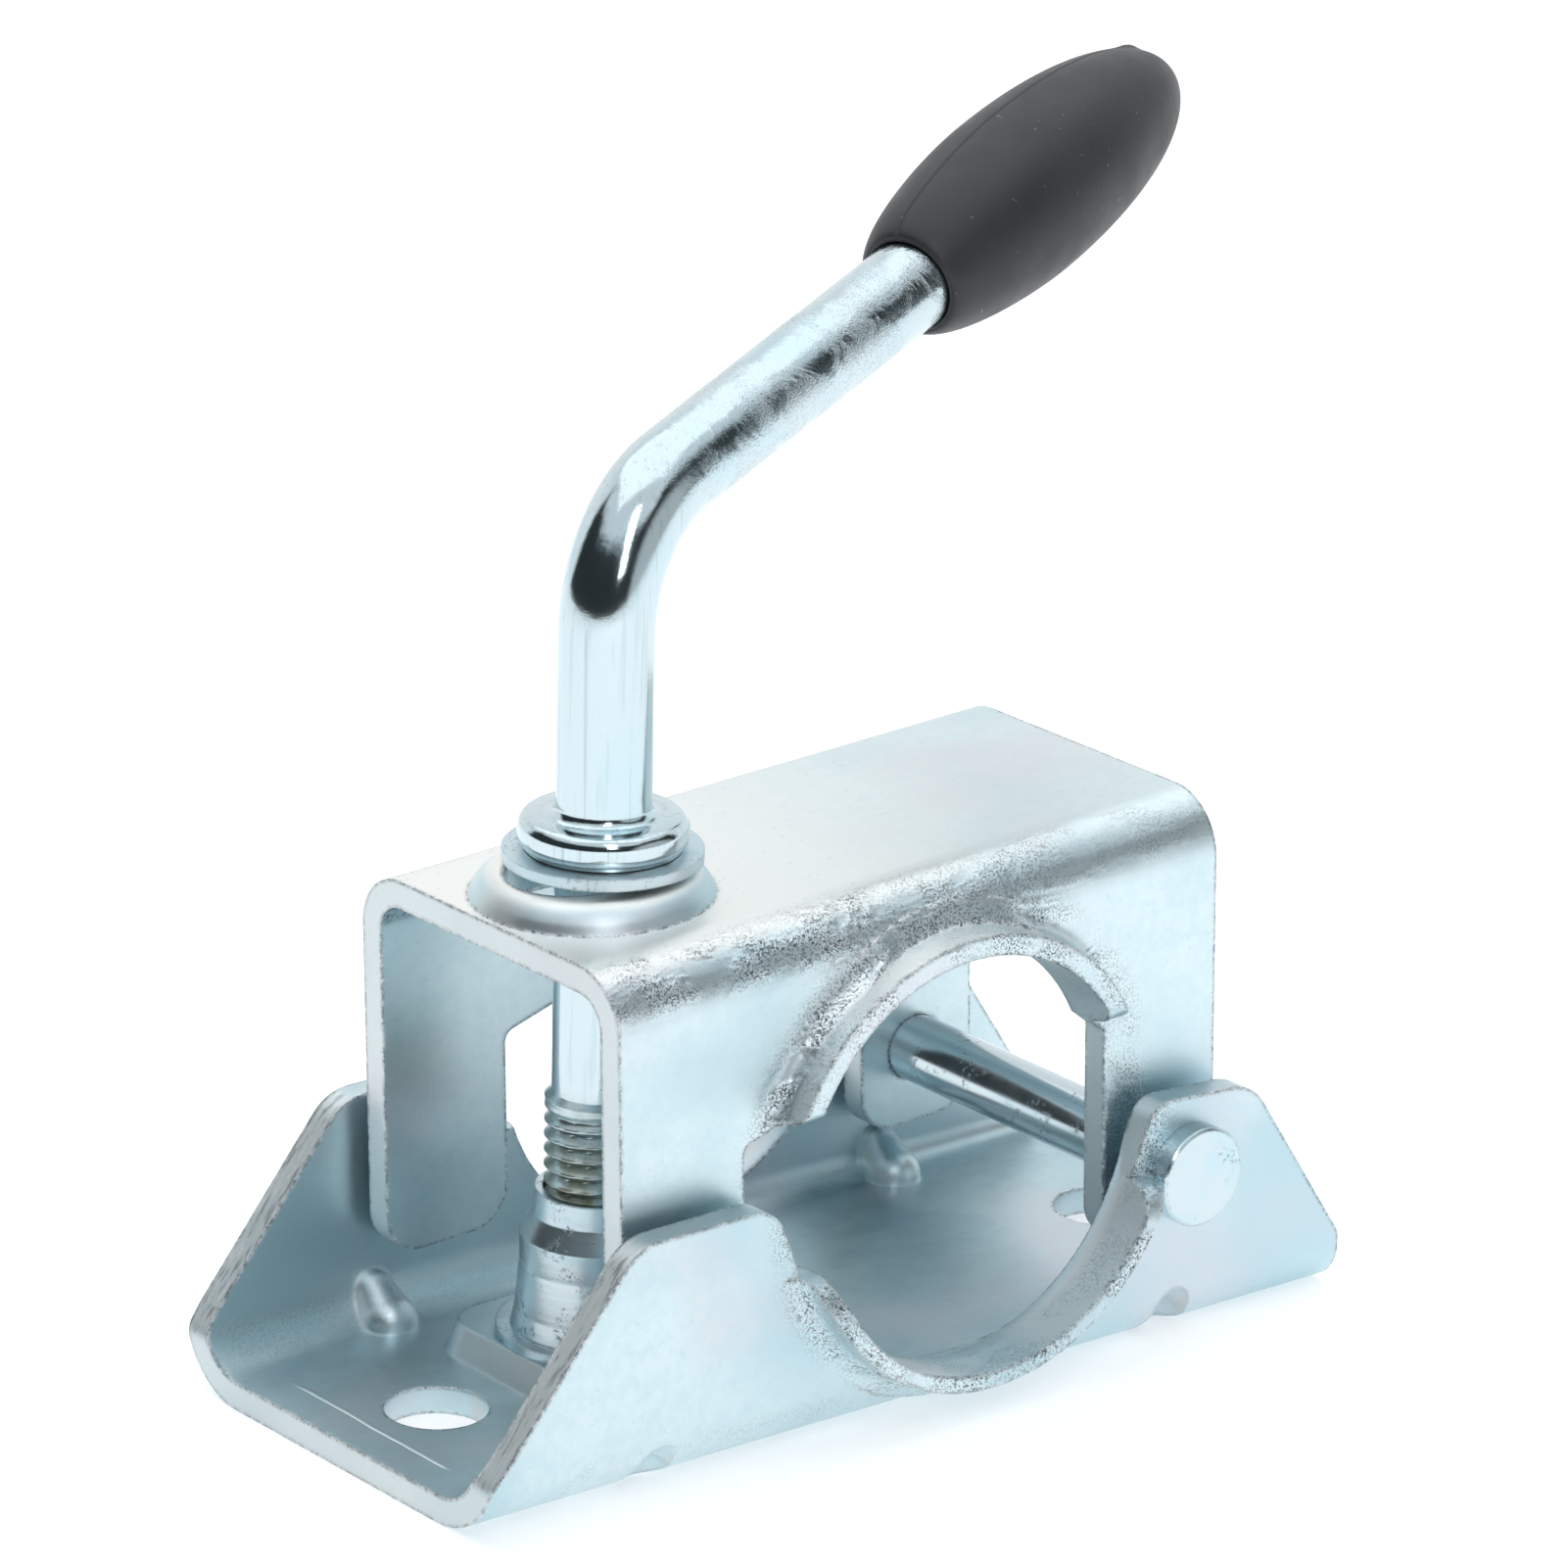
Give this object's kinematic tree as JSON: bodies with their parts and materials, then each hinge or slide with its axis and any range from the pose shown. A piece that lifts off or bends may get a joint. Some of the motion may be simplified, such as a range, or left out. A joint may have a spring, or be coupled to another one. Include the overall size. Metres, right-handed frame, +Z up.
{
  "type": "hinged tube clamp",
  "caption": "Hinged split clamp of two pressed channels with flanged tube collars, a pivot pin and a bent screw handle with an oval grip.",
  "frame": {"origin": "on the underside of the base channel, below the middle of the clamped tube and midway between the walls", "axes": "+X along the channels from the screw towards the hinge, +Y along the tube's axis, +Z up from the base's floor"},
  "size_m": [0.1432, 0.0708, 0.1299],
  "materials": {
    "zinc_sheet": "bright zinc plate, satin",
    "zinc_pin": "bright zinc plate, polished",
    "zinc_nut": "zinc plate, turned",
    "zinc_washer": "zinc plate, satin",
    "zinc_rod": "bright zinc plate, glossy",
    "black_grip": "satin moulded plastic"
  },
  "bodies": {
    "base": {"base_channel": "zinc_sheet", "clamp_nut": "zinc_nut", "pivot_pin": "zinc_pin"},
    "upper": {"clamp_channel": "zinc_sheet"},
    "washer": {"thrust_washer": "zinc_washer"},
    "handle": {"screw_handle": "zinc_rod", "hand_grip": "black_grip"}
  },
  "joints": [
    {"name": "handle_turn", "type": "hinge", "parent": "washer", "child": "handle", "pos_m": [-0.0305, 0, 0], "axis": [0, 0, 1], "range_deg": [0, 1440]},
    {"name": "screw_lift", "type": "slide", "parent": "base", "child": "washer", "axis": [0, 0, 1], "range_m": [0, 0.00705]},
    {"name": "channel_swing", "type": "hinge", "parent": "base", "child": "upper", "pos_m": [0.0312, 0, 0.0197], "axis": [0, 1, 0], "range_deg": [0, 6.15]}
  ],
  "couplings": [
    {"joint": "screw_lift", "follows": "handle_turn", "m_per_rad": 0.00027852},
    {"joint": "channel_swing", "follows": "handle_turn", "ratio": 0.0042361}
  ]
}
